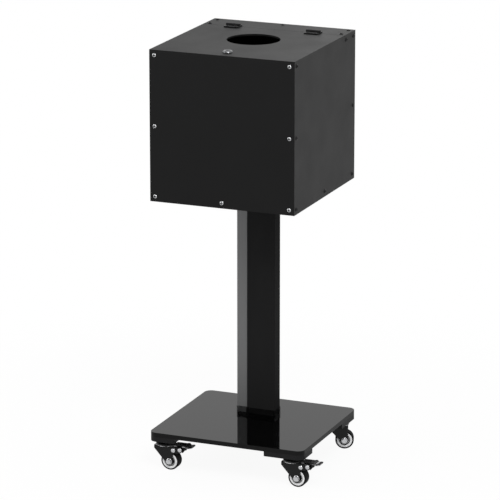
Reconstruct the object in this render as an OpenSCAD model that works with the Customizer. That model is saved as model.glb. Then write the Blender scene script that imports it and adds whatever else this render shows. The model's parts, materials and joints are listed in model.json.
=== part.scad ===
// Raffle box: a black panel box with a hinged, locking lid, on a post and a base with four casters.
// Front faces -Y, +X is right, +Z up. Heights are measured from the floor under the wheels.

/* [Box] */
// Width of the box across its front
box_w = 400; // [370:5:430]
// Depth of the box from front to rear
box_d = 430; // [400:5:460]
// Height of the box with its lid
box_h = 400; // [320:5:440]
// Height of the box's underside above the floor
box_z = 740; // [600:5:840]
// Thickness of the side, front, rear and floor panels
panel_t = 5; // [4:0.5:6]
// Thickness of the lid and of the fixed strip behind it
lid_t = 5; // [4:0.5:6]
// Distance of every panel screw from the box's edges
screw_inset = 14; // [13:0.5:16]
// Edge of the square blocks that hold the panels together inside
block_w = 24; // [22:1:28]

/* [Lid] */
// Distance of the hinge line from the rear edge
hinge_from_rear = 79; // [74:1:90]
// Diameter of the hand hole
hand_hole_d = 140; // [100:5:180]
// Seam between the lid and the fixed strip
seam = 1; // [0.6:0.2:2]

/* [Hinges] */
// Distance of each hinge from the box's middle
hinge_x = 113; // [90:1:130]
// Width of a hinge along its pin
hinge_w = 40; // [34:1:50]
// Length of the lid's leaf from the pin's axis
leaf_len = 20; // [18:1:30]
// Length of the fixed leaf from the pin's axis
fixed_leaf_len = 14; // [13:1:24]
// Thickness of a leaf
leaf_t = 3.2; // [2:0.1:3.4]
// Diameter of the knuckles
knuckle_d = 8; // [8:0.5:10]
// Diameter of the hinge pin
hinge_pin_d = 4; // [3:0.1:4.5]

/* [Lock] */
// Distance of the lock from the lid's front edge
lock_from_front = 41; // [38:1:46]
// Diameter of the lock's face
lock_face_d = 26; // [24:1:30]
// Height of the lock's face above the lid
lock_face_h = 5.5; // [4:0.5:7]
// Diameter of the threaded lock body
lock_body_d = 19; // [18:0.5:21]
// Length of the lock body below the lid's top
lock_body_len = 20; // [17:0.5:24]
// Diameter of the turning plug
plug_d = 12; // [10:0.5:13]
// Reach of the cam from the lock's axis
cam_reach = 30; // [28:1:32]

/* [Fasteners] */
// Diameter of the panel screws
screw_d = 4; // [3:0.5:5]
// Diameter of their pan heads
screw_head_d = 10; // [8:0.5:11]
// Height of their pan heads
screw_head_h = 2.6; // [2:0.1:3]
// Diameter of the bolts that hold the post
bolt_d = 8; // [6:0.5:8]

/* [Post] */
// Width of the post tube
post_w = 80; // [70:1:100]
// Depth of the post tube
post_d = 40; // [36:1:60]
// Wall of the post tube
post_wall = 2; // [1.5:0.25:3]
// Distance of the post behind the middle of the base
post_y = 70; // [40:1:90]
// Width of the grey side profile
profile_w = 30; // [20:1:40]
// Depth of the grey side profile
profile_d = 30; // [20:1:36]
// Wall of the grey side profile
profile_wall = 1.6; // [1.2:0.1:2.4]
// Height of the collar round the post's foot
collar_h = 16; // [10:1:24]
// Wall of the collar
collar_wall = 0.8; // [0.6:0.1:2]

/* [Base] */
// Width of the base plate
base_w = 436; // [410:2:480]
// Depth of the base plate
base_d = 396; // [380:2:440]
// Thickness of the base plate
base_t = 12; // [10:0.5:14]
// Corner radius of the base plate
base_r = 20; // [12:1:34]
// Length of a corner block under the plate
foot_block_w = 108; // [90:1:120]
// Width of a corner block under the plate
foot_block_d = 72; // [70:1:84]
// Thickness of a corner block
foot_block_t = 13; // [12:0.5:16]

/* [Casters] */
// Distance of each swivel axis from the middle, sideways
caster_x = 181; // [174:1:184]
// Distance of each swivel axis from the middle, front to rear
caster_y = 166; // [156:1:167]
// Height of a caster with its plate
caster_h = 80; // [80:0.5:84]
// Diameter of the wheel over its tyre
wheel_d = 50; // [47:0.5:51]
// Width of the tyre
wheel_w = 26; // [22:1:26]
// Distance of the axle behind the swivel axis
trail = 15; // [13:0.5:16]
// Edge of the square caster plate
caster_plate_w = 52; // [50:1:54]
// Diameter of the axle bolt
axle_d = 8; // [6:0.5:8]
// Reach of the brake pedal from the swivel axis
pedal_reach = 79; // [77:0.5:88]
// Width of the pedal's blade
pedal_w = 32; // [28:1:34]

/* [Hidden] */
$fn = 64;

// Clearances and overruns
overrun = 1;            // how far a cutter runs past the face it cuts
free_gap = 0.3;         // between faces that move past each other
run_gap = 0.05;         // radial, between a shaft and its bore
hole_gap = 0.25;        // radial, between a screw and the panel it passes through
tip_gap = 0.5;          // between a screw's tip and the end of its hole

// The object's box is centred on the origin, so the post stands a little left of it
frame_x = -(caster_x + pedal_reach - base_w / 2) / 2;
module in_frame() { translate([frame_x, 0, 0]) children(); }

// Box levels and inner faces
box_top = box_z + box_h;
lid_z = box_top - lid_t;
floor_top = box_z + panel_t;
wall_x = box_w / 2 - panel_t;
wall_y = box_d / 2 - panel_t;
hinge_y = box_d / 2 - hinge_from_rear;
screw_x = box_w / 2 - screw_inset;
screw_y = box_d / 2 - screw_inset;
screw_low = box_z + screw_inset;
screw_mid = box_z + box_h / 2;
screw_high = box_top - screw_inset;
lid_relief = 1;         // the front blocks stay this far below the lid
side_screw_y = hinge_y + seam + block_w / 2;

// Panel screws
screw_bite = 5;         // length of a screw in the block behind the panel
recess_share = 0.42;    // diameter of the drive recess, of the head
recess_depth_share = 0.6;
head_edge_share = 0.35; // height of the head's cylindrical edge

// A round-headed screw: head above z = 0, shank below, turned from one profile
module screw(d, head_d, head_h, len) {
    rotate_extrude()
        polygon([[0, -len], [d / 2, -len], [d / 2, 0], [head_d / 2, 0],
            [head_d / 2, head_h * head_edge_share],
            [head_d * recess_share, head_h * (1 + head_edge_share) / 2], [head_d * recess_share / 2, head_h],
            [head_d * recess_share / 2, head_h * (1 - recess_depth_share)],
            [0, head_h * (1 - recess_depth_share)]]);
}
module panel_screw() { screw(screw_d, screw_head_d, screw_head_h, panel_t + screw_bite); }
module top_screw() { screw(screw_d, screw_head_d, screw_head_h, lid_t + screw_bite); }
module screw_hole(t) { clear_hole(screw_d, t); }
module pilot_hole(t) {
    translate([0, 0, -t - screw_bite - tip_gap])
        cylinder(d = screw_d + 2 * run_gap, h = screw_bite + tip_gap + t);
}
module blind_hole(d, depth) {
    translate([0, 0, -depth]) cylinder(d = d + 2 * run_gap, h = depth + overrun);
}
module clear_hole(d, t) {
    translate([0, 0, -t - overrun]) cylinder(d = d + 2 * hole_gap, h = t + 2 * overrun);
}

// Each set puts its children on a face of the box, with +Z out of that face
module at_front(x, z) { translate([x, -box_d / 2, z]) rotate([90, 0, 0]) children(); }
module at_rear(x, z) { translate([x, box_d / 2, z]) rotate([-90, 0, 0]) children(); }
module at_left(y, z) { translate([-box_w / 2, y, z]) rotate([0, -90, 0]) children(); }
module at_right(y, z) { translate([box_w / 2, y, z]) rotate([0, 90, 0]) children(); }
module at_floor(x, y) { translate([x, y, box_z]) rotate([180, 0, 0]) children(); }
module at_top(x, y) { translate([x, y, box_top]) children(); }
module front_set() {
    for (x = [-screw_x, screw_x], z = [screw_low, screw_mid, screw_high]) at_front(x, z) children();
    at_front(0, screw_low) children();
}
module rear_set() {
    for (x = [-screw_x, screw_x], z = [screw_low, screw_mid, screw_high]) at_rear(x, z) children();
    for (z = [screw_low, screw_high]) at_rear(0, z) children();
}
module left_set() {
    for (y = [-screw_y, screw_y], z = [screw_low, screw_mid, screw_high]) at_left(y, z) children();
    at_left(0, screw_low) children();
    at_left(side_screw_y, screw_high) children();
}
module right_set() {
    for (y = [-screw_y, screw_y], z = [screw_low, screw_mid, screw_high]) at_right(y, z) children();
    at_right(0, screw_low) children();
    at_right(side_screw_y, screw_high) children();
}
module floor_set() {
    for (x = [-screw_x, 0, screw_x], y = [-screw_y, 0, screw_y])
        if (x != 0 || y != 0) at_floor(x, y) children();
}
module top_set() {
    for (x = [-screw_x, screw_x], y = [side_screw_y, screw_y]) at_top(x, y) children();
    at_top(0, screw_y) children();
}

// A box given by its lowest and highest corners
module span(low, high) { translate(low) cube(high - low); }

// Panels: front and rear cover the sides, the floor lies between all four
panel_color = [0.10, 0.10, 0.11];
module front_panel() {
    color(panel_color) difference() {
        span([-box_w / 2, -box_d / 2, box_z], [box_w / 2, -wall_y, lid_z]);
        front_set() screw_hole(panel_t);
        strike_screw_set() translate([0, 0, -strike_t]) blind_hole(strike_screw_d, strike_bite + run_gap);
    }
}
module rear_panel() {
    color(panel_color) difference() {
        span([-box_w / 2, wall_y, box_z], [box_w / 2, box_d / 2, lid_z]);
        rear_set() screw_hole(panel_t);
    }
}
module left_panel() {
    color(panel_color) difference() {
        span([-box_w / 2, -wall_y, box_z], [-wall_x, wall_y, lid_z]);
        left_set() screw_hole(panel_t);
    }
}
module right_panel() {
    color(panel_color) difference() {
        span([wall_x, -wall_y, box_z], [box_w / 2, wall_y, lid_z]);
        right_set() screw_hole(panel_t);
    }
}
module floor_panel() {
    color(panel_color) difference() {
        span([-wall_x, -wall_y, box_z], [wall_x, wall_y, floor_top]);
        floor_set() screw_hole(panel_t);
        head_bolt_set() translate([0, 0, panel_t]) clear_hole(bolt_d, panel_t);
    }
}
module rear_top_strip() {
    color(panel_color) difference() {
        span([-box_w / 2, hinge_y + seam / 2, lid_z], [box_w / 2, box_d / 2, box_top]);
        top_set() screw_hole(lid_t);
        for (side = [-1, 1]) leaf_screw_set(side, 1) leaf_pilot();
    }
}

// Blocks inside the box that the panel screws bite into
block_color = [0.16, 0.16, 0.17];
module block_at(x, y, low) {
    // pushed against the walls by the signs of x and y, or centred where they are 0
    cx = x == 0 ? 0 : sign(x) * (wall_x - block_w / 2);
    cy = abs(y) == screw_y ? sign(y) * (wall_y - block_w / 2) : y;
    translate([cx - block_w / 2, cy - block_w / 2, low]) cube(block_w);
}
module pilots() {
    front_set() pilot_hole(panel_t);
    rear_set() pilot_hole(panel_t);
    left_set() pilot_hole(panel_t);
    right_set() pilot_hole(panel_t);
    floor_set() pilot_hole(panel_t);
    top_set() pilot_hole(lid_t);
}
module corner_blocks() {
    color(block_color) difference() {
        for (x = [-screw_x, screw_x]) {
            block_at(x, -screw_y, floor_top);
            block_at(x, screw_y, floor_top);
            block_at(x, -screw_y, lid_z - lid_relief - block_w);
            block_at(x, screw_y, lid_z - block_w);
        }
        pilots();
    }
}
module edge_blocks() {
    color(block_color) difference() {
        union() {
            for (x = [-screw_x, screw_x]) {
                for (y = [-screw_y, screw_y]) block_at(x, y, screw_mid - block_w / 2);
                block_at(x, 0, floor_top);
                block_at(x, side_screw_y, lid_z - block_w);
            }
            for (y = [-screw_y, screw_y]) block_at(0, y, floor_top);
            block_at(0, screw_y, lid_z - block_w);
        }
        pilots();
    }
}
screw_color = [0.82, 0.83, 0.85];
dark_screw_color = [0.06, 0.06, 0.07];
module front_panel_screws() { color(screw_color) front_set() panel_screw(); }
module rear_panel_screws() { color(screw_color) rear_set() panel_screw(); }
module side_panel_screws() {
    color(dark_screw_color) {
        left_set() panel_screw();
        right_set() panel_screw();
    }
}
module top_strip_screws() { color(dark_screw_color) top_set() top_screw(); }
module floor_panel_screws() { color(dark_screw_color) floor_set() panel_screw(); }

// Lid with its hand hole
module lid_panel() {
    color(panel_color) difference() {
        span([-box_w / 2, -box_d / 2, lid_z], [box_w / 2, hinge_y - seam / 2, box_top]);
        translate([0, 0, lid_z - overrun]) cylinder(d = hand_hole_d, h = lid_t + 2 * overrun, $fn = 128);
        translate([0, lock_y, lid_z - overrun]) cylinder(d = lock_body_d + 2 * hole_gap, h = lid_t + 2 * overrun);
        for (side = [-1, 1]) leaf_screw_set(side, -1) leaf_pilot();
    }
}

// Surface hinges: two outer knuckles stay with the strip, the middle one turns with the lid
axis_h = knuckle_d / 2 + free_gap;
hinge_z = box_top + axis_h;
leaf_corner_r = 2;
leaf_screw_d = 3.5;
leaf_screw_head_d = 7;
leaf_screw_head_h = 1.4;
leaf_screw_x_share = 0.28;  // of the hinge's width, each side of its middle
leaf_screw_y_share = 0.66;  // of the leaf's length
middle_knuckle_share = 0.4; // of the hinge's width
hinge_color = [0.05, 0.05, 0.06];
function leaf_reach(way) = way < 0 ? leaf_len : fixed_leaf_len;
module leaf_screw_set(side, way) {
    for (dx = [-1, 1])
        translate([side * hinge_x + dx * hinge_w * leaf_screw_x_share,
            hinge_y + way * leaf_reach(way) * leaf_screw_y_share, box_top]) children();
}
module leaf_pilot() { blind_hole(leaf_screw_d, lid_t + overrun); }
module leaf_screw() {
    translate([0, 0, leaf_t])
        screw(leaf_screw_d, leaf_screw_head_d, leaf_screw_head_h, leaf_t + lid_t - tip_gap);
}
module along_pin(reach, r) {
    translate([reach[0], 0, 0]) rotate([0, 90, 0]) cylinder(r = r, h = reach[1] - reach[0]);
}
module leaf_plate(way) {
    // a plate with two round corners, whose inner edge lies under the knuckles
    straight = hinge_w - 2 * leaf_corner_r;
    reach = leaf_reach(way);
    outer = reach - leaf_corner_r;
    for (dx = [-straight / 2, straight / 2])
        translate([dx, way * outer, 0]) cylinder(r = leaf_corner_r, h = leaf_t);
    translate([-straight / 2, way < 0 ? -reach : 0, 0]) cube([straight, reach, leaf_t]);
    translate([-hinge_w / 2, way < 0 ? -outer : 0, 0]) cube([hinge_w, outer, leaf_t]);
}
module hinge_leaf(side, way) {
    middle = hinge_w * middle_knuckle_share / 2;
    own = way < 0 ? [[free_gap - middle, middle - free_gap]] : [[-hinge_w / 2, -middle], [middle, hinge_w / 2]];
    gone = way < 0 ? [[-hinge_w, free_gap - middle], [middle - free_gap, hinge_w]] : [[-middle, middle]];
    difference() {
        translate([side * hinge_x, hinge_y, hinge_z]) difference() {
            union() {
                difference() {
                    translate([0, 0, -axis_h]) leaf_plate(way);
                    for (g = gone) along_pin(g, axis_h + free_gap);
                }
                for (k = own) along_pin(k, knuckle_d / 2);
            }
            along_pin([-hinge_w, hinge_w], hinge_pin_d / 2 + run_gap);
        }
        leaf_screw_set(side, way) translate([0, 0, leaf_t]) clear_hole(leaf_screw_d, leaf_t);
    }
}
module hinge_fixed_leaves() { color(hinge_color) for (side = [-1, 1]) hinge_leaf(side, 1); }
module hinge_lid_leaves() { color(hinge_color) for (side = [-1, 1]) hinge_leaf(side, -1); }
module hinge_pins() {
    color(screw_color) for (side = [-1, 1])
        translate([side * hinge_x, hinge_y, hinge_z]) along_pin([-hinge_w / 2, hinge_w / 2], hinge_pin_d / 2);
}
module hinge_fixed_screws() { color(hinge_color) for (side = [-1, 1]) leaf_screw_set(side, 1) leaf_screw(); }
module hinge_lid_screws() { color(hinge_color) for (side = [-1, 1]) leaf_screw_set(side, -1) leaf_screw(); }

// Cam lock: a housing clamped by a nut, and a plug whose cam turns under the strike
lock_y = -box_d / 2 + lock_from_front;
plug_r = plug_d / 2;
lock_face_shares = [[1, 0], [1, 0.35], [0.9, 0.8], [0.8, 1], [0.58, 1]]; // of the face's radius and height
plug_face_share = 0.8;      // height of the plug's face, of the lock face's height
key_w_share = 0.16;         // width and length of the key slot, of the plug's diameter
key_l_share = 0.66;
key_depth = 6;
lock_nut_d = 27;            // across the corners
lock_nut_h = 5;
cam_t = 2.5;
cam_w = 15;
tang_w = 7;                 // square end of the plug that carries the cam
cam_top = box_top - lock_body_len - free_gap;
chrome_color = [0.85, 0.86, 0.88];
module at_lock(z) { translate([0, lock_y, z]) children(); }
module lock_housing() {
    face = [for (s = lock_face_shares) [s[0] * lock_face_d / 2, s[1] * lock_face_h]];
    color(chrome_color) at_lock(box_top) rotate_extrude()
        polygon(concat([[plug_r + run_gap, -lock_body_len], [lock_body_d / 2, -lock_body_len], [lock_body_d / 2, 0]],
            face, [[plug_r + run_gap, lock_face_h * plug_face_share]]));
}
module lock_nut() {
    color(chrome_color) at_lock(lid_z - lock_nut_h) difference() {
        cylinder(d = lock_nut_d, h = lock_nut_h, $fn = 6);
        translate([0, 0, -overrun]) cylinder(d = lock_body_d + 2 * run_gap, h = lock_nut_h + 2 * overrun);
    }
}
module lock_plug() {
    face_z = lock_face_h * plug_face_share;
    color(chrome_color) at_lock(box_top) difference() {
        union() {
            translate([0, 0, -lock_body_len]) cylinder(r = plug_r, h = lock_body_len + face_z);
            translate([-tang_w / 2, -tang_w / 2, -lock_body_len - free_gap - cam_t])
                cube([tang_w, tang_w, cam_t + 2 * free_gap]);
        }
        translate([-plug_d * key_l_share / 2, -plug_d * key_w_share / 2, face_z - key_depth])
            cube([plug_d * key_l_share, plug_d * key_w_share, key_depth + overrun]);
        translate([0, 0, -lock_body_len - free_gap - cam_t]) rotate([180, 0, 0])
            blind_hole(screw_d, screw_bite + tip_gap);
    }
}
module lock_cam() {
    hole_w = tang_w + 2 * run_gap;
    color(chrome_color) at_lock(cam_top - cam_t) difference() {
        union() {
            cylinder(d = cam_w, h = cam_t);
            translate([0, -cam_w / 2, 0]) cube([cam_reach - cam_w / 2, cam_w, cam_t]);
            translate([cam_reach - cam_w / 2, 0, 0]) cylinder(d = cam_w, h = cam_t);
        }
        translate([-hole_w / 2, -hole_w / 2, -overrun]) cube([hole_w, hole_w, cam_t + 2 * overrun]);
    }
}
module cam_screw() {
    color(chrome_color) at_lock(cam_top - cam_t) rotate([180, 0, 0])
        screw(screw_d, screw_head_d, screw_head_h, screw_bite);
}

// Strike: an angle on the front panel whose lip lies just above the turned cam
strike_w = 34;
strike_t = 2;
lip_len = 14;
strike_screw_d = 3;
strike_screw_head_d = 5.5;
strike_screw_head_h = 2;
strike_bite = 3.5;          // length of a strike screw in the front panel
strike_screw_share = 0.32;  // place of a strike screw, of the strike's width
lip_z = cam_top + free_gap;
strike_screw_x = strike_w * strike_screw_share;
strike_screw_z = (lip_z + strike_t + lid_z - lid_relief) / 2;
module strike_screw_set() {
    for (x = [-strike_screw_x, strike_screw_x])
        translate([x, -wall_y + strike_t, strike_screw_z]) rotate([-90, 0, 0]) children();
}
module lock_strike() {
    color(chrome_color) difference() {
        union() {
            span([-strike_w / 2, -wall_y, lip_z], [strike_w / 2, -wall_y + strike_t, lid_z - lid_relief]);
            span([-strike_w / 2, -wall_y, lip_z], [strike_w / 2, -wall_y + lip_len, lip_z + strike_t]);
        }
        strike_screw_set() clear_hole(strike_screw_d, strike_t);
    }
}
module strike_screws() {
    color(screw_color) strike_screw_set()
        screw(strike_screw_d, strike_screw_head_d, strike_screw_head_h, strike_t + strike_bite);
}

// Levels of the base
base_z = caster_h + foot_block_t;
base_top = base_z + base_t;

// Post: a rectangular tube with a grey profile on its left side
head_plate_t = 5;
post_top = box_z - head_plate_t;
post_len = post_top - base_top;
post_r = 3;
profile_r = 1;
post_color = [0.07, 0.07, 0.08];
profile_color = [0.55, 0.56, 0.58];
module rounded(w, d, r) {
    // a rectangle centred on the origin, with round corners
    for (x = [r - w / 2, w / 2 - r], y = [r - d / 2, d / 2 - r]) translate([x, y]) circle(r = r);
    square([w - 2 * r, d], center = true);
    square([w, d - 2 * r], center = true);
}
module at_post(z) { translate([0, post_y, z]) children(); }
module at_profile(z) { translate([-(post_w + profile_w) / 2, post_y, z]) children(); }
profile_screw_shares = [0.08, 0.36, 0.64, 0.92]; // heights, of the post's length
profile_screw_grip = 4;     // reach of a profile screw past the tube's wall
module profile_screw_set() {
    for (s = profile_screw_shares)
        translate([-post_w / 2 - profile_w, post_y, base_top + s * post_len]) rotate([0, -90, 0]) children();
}
module post_tube() {
    color(post_color) difference() {
        at_post(base_top) linear_extrude(post_len) difference() {
            rounded(post_w, post_d, post_r);
            rounded(post_w - 2 * post_wall, post_d - 2 * post_wall, post_r - post_wall);
        }
        profile_screw_set() translate([0, 0, -profile_w - post_wall - overrun])
            cylinder(d = screw_d + 2 * run_gap, h = post_wall + 2 * overrun);
    }
}
module post_side_profile() {
    color(profile_color) difference() {
        at_profile(base_top) linear_extrude(post_len) difference() {
            rounded(profile_w, profile_d, profile_r);
            square([profile_w - 2 * profile_wall, profile_d - 2 * profile_wall], center = true);
        }
        profile_screw_set() translate([0, 0, -profile_w - overrun])
            cylinder(d = screw_d + 2 * hole_gap, h = profile_w + 2 * overrun);
    }
}
module side_profile_screws() {
    color(profile_color) profile_screw_set()
        screw(screw_d, screw_head_d, screw_head_h, profile_w + post_wall + profile_screw_grip);
}

// Head plate under the box, bolted through the floor panel
head_flange = 28;           // width of the plate beyond the post on every side
head_bolt_inset = 14;
head_plate_w = post_w + profile_w + 2 * head_flange;
head_plate_d = post_d + 2 * head_flange;
head_plate_r = 8;
bolt_head_d = 14;
bolt_head_h = 4.4;
nut_d = 15;                 // across the corners
nut_h = 6.5;
bolt_end = 2;               // length of a bolt past its nut
module head_bolt_set() {
    for (x = [-1, 1], y = [-1, 1])
        translate([x * (head_plate_w / 2 - head_bolt_inset) - profile_w / 2,
            y * (head_plate_d / 2 - head_bolt_inset) + post_y, box_z]) children();
}
module post_head_plate() {
    color(post_color) difference() {
        translate([-profile_w / 2, post_y, post_top]) linear_extrude(head_plate_t)
            rounded(head_plate_w, head_plate_d, head_plate_r);
        head_bolt_set() clear_hole(bolt_d, head_plate_t);
    }
}
module hex_nut(d, bore_d, h) {
    difference() {
        cylinder(d = d, h = h, $fn = 6);
        translate([0, 0, -overrun]) cylinder(d = bore_d + 2 * run_gap, h = h + 2 * overrun);
    }
}
module post_head_bolts() {
    color(dark_screw_color) head_bolt_set() {
        translate([0, 0, panel_t])
            screw(bolt_d, bolt_head_d, bolt_head_h, panel_t + head_plate_t + nut_h + bolt_end);
        translate([0, 0, -head_plate_t - nut_h]) hex_nut(nut_d, bolt_d, nut_h);
    }
}

// Foot: a plug in the tube, bolted from below through the base plate
plug_h = 26;
plug_fit = 0.1;
plug_corner_r = 1.5;
foot_bolt_x_share = 0.3;    // places of the foot bolts, of the post's width and depth
foot_bolt_y_share = 0.22;
foot_bite = 20;             // length of a foot bolt in the plug
under_plate_t = 4;
under_plate_w = 130;
under_plate_d = 84;
collar_gap = 0.15;
module foot_bolt_set(z) {
    for (x = [-1, 1], y = [-1, 1])
        translate([x * post_w * foot_bolt_x_share, post_y + y * post_d * foot_bolt_y_share, z])
            rotate([180, 0, 0]) children();
}
module post_foot_plug() {
    color(block_color) difference() {
        at_post(base_top) linear_extrude(plug_h)
            rounded(post_w - 2 * post_wall - 2 * plug_fit, post_d - 2 * post_wall - 2 * plug_fit, plug_corner_r);
        foot_bolt_set(base_top) blind_hole(bolt_d, foot_bite + tip_gap);
    }
}
module collar_outline(grow) {
    at_post(0) square([post_w + 2 * grow, post_d + 2 * grow], center = true);
    translate([-post_w / 2 - profile_w - grow, post_y - profile_d / 2 - grow])
        square([profile_w + grow + post_wall, profile_d + 2 * grow]);
}
module post_foot_collar() {
    color(dark_screw_color) translate([0, 0, base_top]) linear_extrude(collar_h) difference() {
        collar_outline(collar_gap + collar_wall);
        collar_outline(collar_gap);
    }
}
module post_under_plate() {
    color(post_color) difference() {
        at_post(base_z - under_plate_t) linear_extrude(under_plate_t)
            rounded(under_plate_w, under_plate_d, head_plate_r);
        foot_bolt_set(base_z - under_plate_t) clear_hole(bolt_d, under_plate_t);
    }
}
module post_foot_bolts() {
    color(dark_screw_color) foot_bolt_set(base_z - under_plate_t)
        screw(bolt_d, bolt_head_d, bolt_head_h, under_plate_t + base_t + foot_bite);
}

// Base plate and the blocks under its corners, each turned a quarter against its neighbours
block_screw_depth = 3;      // depth of the counterbore over a block screw
block_screw_bite = 6;       // length of a block screw in the base plate
block_screw_inset = 14;
base_color = [0.05, 0.05, 0.06];
function block_size(sx, sy) = sx * sy < 0 ? [foot_block_w, foot_block_d] : [foot_block_d, foot_block_w];
module block_screw_set(z) {
    // two screws near the end of each block that the caster leaves free
    far = foot_block_w - block_screw_inset;
    for (sx = [-1, 1], sy = [-1, 1], near = [block_screw_inset, foot_block_d - block_screw_inset])
        translate([sx * (base_w / 2 - (sx * sy < 0 ? far : near)), sy * (base_d / 2 - (sx * sy < 0 ? near : far)), z])
            rotate([180, 0, 0]) children();
}
module base_plate() {
    color(base_color) difference() {
        translate([0, 0, base_z]) linear_extrude(base_t) rounded(base_w, base_d, base_r);
        foot_bolt_set(base_z) clear_hole(bolt_d, base_t);
        block_screw_set(base_z) blind_hole(screw_d, block_screw_bite + tip_gap);
    }
}
module base_blocks() {
    color(block_color) difference() {
        translate([0, 0, caster_h]) linear_extrude(foot_block_t) intersection() {
            rounded(base_w, base_d, base_r);
            for (sx = [-1, 1], sy = [-1, 1])
                translate([sx * (base_w - block_size(sx, sy)[0]) / 2, sy * (base_d - block_size(sx, sy)[1]) / 2])
                    square(block_size(sx, sy), center = true);
        }
        block_screw_set(caster_h) {
            clear_hole(screw_d, foot_block_t);
            blind_hole(screw_head_d + hole_gap, block_screw_depth);
        }
        caster_screw_set(caster_h) blind_hole(caster_screw_d, caster_bite + tip_gap);
    }
}
module base_block_screws() {
    color(dark_screw_color) block_screw_set(caster_h + block_screw_depth)
        screw(screw_d, screw_head_d, screw_head_h, foot_block_t - block_screw_depth + block_screw_bite);
}

// Caster plates: a plate, the raceway under it and the kingpin that carries the fork
caster_plate_t = 2.5;
caster_plate_r = 8;
caster_screw_d = 5;
caster_screw_head_d = 8.5;
caster_screw_head_h = 1.6;
caster_screw_inset = 7;
caster_bite = 9;            // length of a caster screw in its block
race_d = 44;
race_h = 2;
race_edge = 0.8;
kingpin_d = 8;
kingpin_head_d = 14;
kingpin_head_h = 3;
kingpin_edge_share = 0.8;   // of the head's radius, where its chamfer starts
crown_d = 54;
crown_t = 11;             // down to the roof's underside
caster_color = [0.06, 0.06, 0.07];
plate_low = caster_h - caster_plate_t;
race_low = plate_low - race_h;
crown_top = race_low - free_gap;
crown_low = crown_top - crown_t;
kingpin_low = crown_low - free_gap - kingpin_head_h;
module caster_screw_set(z) {
    reach = caster_plate_w / 2 - caster_screw_inset;
    for (sx = [-1, 1], sy = [-1, 1], dx = [-reach, reach], dy = [-reach, reach])
        translate([sx * caster_x + dx, sy * caster_y + dy, z]) rotate([180, 0, 0]) children();
}
module caster_plates() {
    color(caster_color) difference() {
        for (sx = [-1, 1], sy = [-1, 1]) translate([sx * caster_x, sy * caster_y, 0]) {
            translate([0, 0, plate_low]) linear_extrude(caster_plate_t)
                rounded(caster_plate_w, caster_plate_w, caster_plate_r);
            rotate_extrude() polygon([[0, kingpin_low], [kingpin_edge_share * kingpin_head_d / 2, kingpin_low],
                [kingpin_head_d / 2, kingpin_low + kingpin_head_h / 2],
                [kingpin_head_d / 2, kingpin_low + kingpin_head_h], [kingpin_d / 2, kingpin_low + kingpin_head_h],
                [kingpin_d / 2, race_low], [race_d / 2 - race_edge, race_low],
                [race_d / 2, race_low + race_edge], [race_d / 2, plate_low], [0, plate_low]]);
        }
        caster_screw_set(plate_low) clear_hole(caster_screw_d, caster_plate_t);
    }
}
module caster_plate_screws() {
    color(dark_screw_color) caster_screw_set(plate_low)
        screw(caster_screw_d, caster_screw_head_d, caster_screw_head_h, caster_plate_t + caster_bite);
}

// Casters: fork, wheel and axle, each given by the side it stands on
axle_z = wheel_d / 2;
cheek_t = 2.5;
cheek_gap = 1.6;            // between the tyre and a cheek
fork_half = wheel_w / 2 + cheek_gap + cheek_t;
roof_t = 3;
cheek_top = crown_low + roof_t;
crown_foot_r = 12;          // the crown's part inside the roof
crown_edge = 5;             // height of the crown's upright edge above the roof
crown_slope = 4;            // width of its sloped edge
boss_r = 9.5;
lobe_r = 8;
bend_r = 4;                 // outer radius of the bend between roof and cheeks
heel = 28;                  // reach of the fork behind the swivel axis
heel_h = 9;                 // height of the cheek's upright rear edge
roof_front = 22;            // reach of the roof ahead of the swivel axis
web_h = 21;                 // reach of the rear web below the roof
brake_pin_d = 5;
brake_head_d = 12;
brake_head_h = 2.6;
pivot_ahead = 11;           // places of the pins from the axle
stop_ahead = 30;
pivot_drop = 11;            // below the cheeks' top
pivot_x = trail + pivot_ahead;
pivot_z = cheek_top - pivot_drop;
stop_x = trail + stop_ahead;
stop_z = cheek_top - lobe_r;
boss_touch_shares = [-0.79, -0.61]; // where the rear edge meets the boss, of its radius
rear_turn = 20;             // degrees that the rear right caster has swivelled
module at_caster(sx, sy) {
    translate([sx * caster_x, sy * caster_y, 0]) rotate([0, 0, sx > 0 && sy > 0 ? rear_turn : 0]) children();
}
module across(x, z) { translate([x, 0, z]) rotate([90, 0, 0]) children(); }
module cheek_outline(brake) {
    // a braked fork reaches on to the stop pin, the others end just ahead of the axle
    lobe = [[stop_x, cheek_top], [stop_x, stop_z - lobe_r], [trail + boss_r + cheek_t, stop_z - lobe_r - cheek_t],
        [trail + boss_r, axle_z + boss_r]];
    translate([trail, axle_z]) circle(r = boss_r);
    if (brake) translate([stop_x, stop_z]) circle(r = lobe_r);
    polygon(concat([[-heel, cheek_top]], brake ? lobe : [[trail + boss_r, cheek_top]],
        [[trail + boss_r, axle_z], [trail, axle_z],
        [trail + boss_touch_shares[0] * boss_r, axle_z + boss_touch_shares[1] * boss_r], [-heel, cheek_top - heel_h]]));
}
module web_outline() {
    // the cheek's rear edge, one wall thick, down to the level of the web's end
    intersection() {
        difference() {
            cheek_outline(false);
            translate([cheek_t, 0]) cheek_outline(false);
        }
        translate([-heel, cheek_top - web_h]) square([heel, web_h]);
    }
}
module channel_section(inset, low) {
    // an upright outline with two rounded upper corners, in Y and Z
    half = fork_half - inset;
    top = cheek_top - inset * roof_t / cheek_t;
    r = bend_r - inset;
    for (y = [r - half, half - r]) translate([y, top - r]) circle(r = r);
    translate([r - half, low]) square([2 * (half - r), top - low]);
    translate([-half, low]) square([2 * half, top - r - low]);
}
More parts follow.
